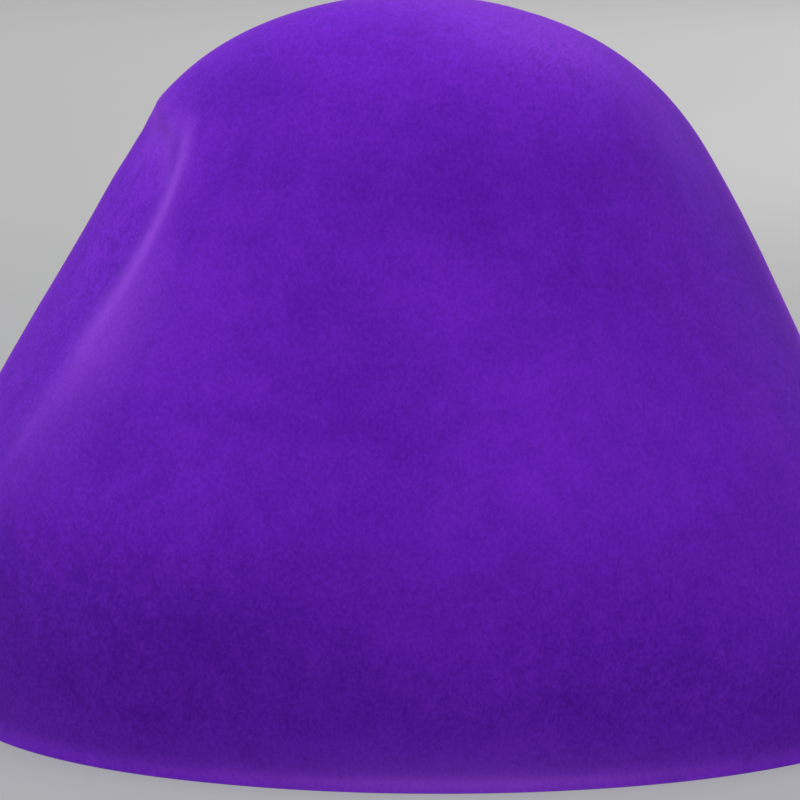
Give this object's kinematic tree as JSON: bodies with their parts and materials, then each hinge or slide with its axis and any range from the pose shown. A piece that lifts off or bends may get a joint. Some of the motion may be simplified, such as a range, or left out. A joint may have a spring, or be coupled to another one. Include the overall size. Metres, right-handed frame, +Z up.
{
  "type": "capeline felt hat body",
  "caption": "Unblocked velour felt hat body: a hollow round crown on a flared bell side, with a rolled-in skirt, a small turned-out lip and a long hollow folded into one side.",
  "frame": {"origin": "on the surface that the rim stands on, under the middle of the hood's greatest width and depth", "axes": "+Z up from the rim to the crown, -Y the front, -X the side with the long hollow"},
  "size_m": [0.345, 0.3408, 0.2494],
  "materials": {
    "velour_felt": "matt brushed velour nap with a soft sheen at grazing angles"
  },
  "bodies": {
    "root": {"felt_hood": "velour_felt"}
  },
  "joints": []
}
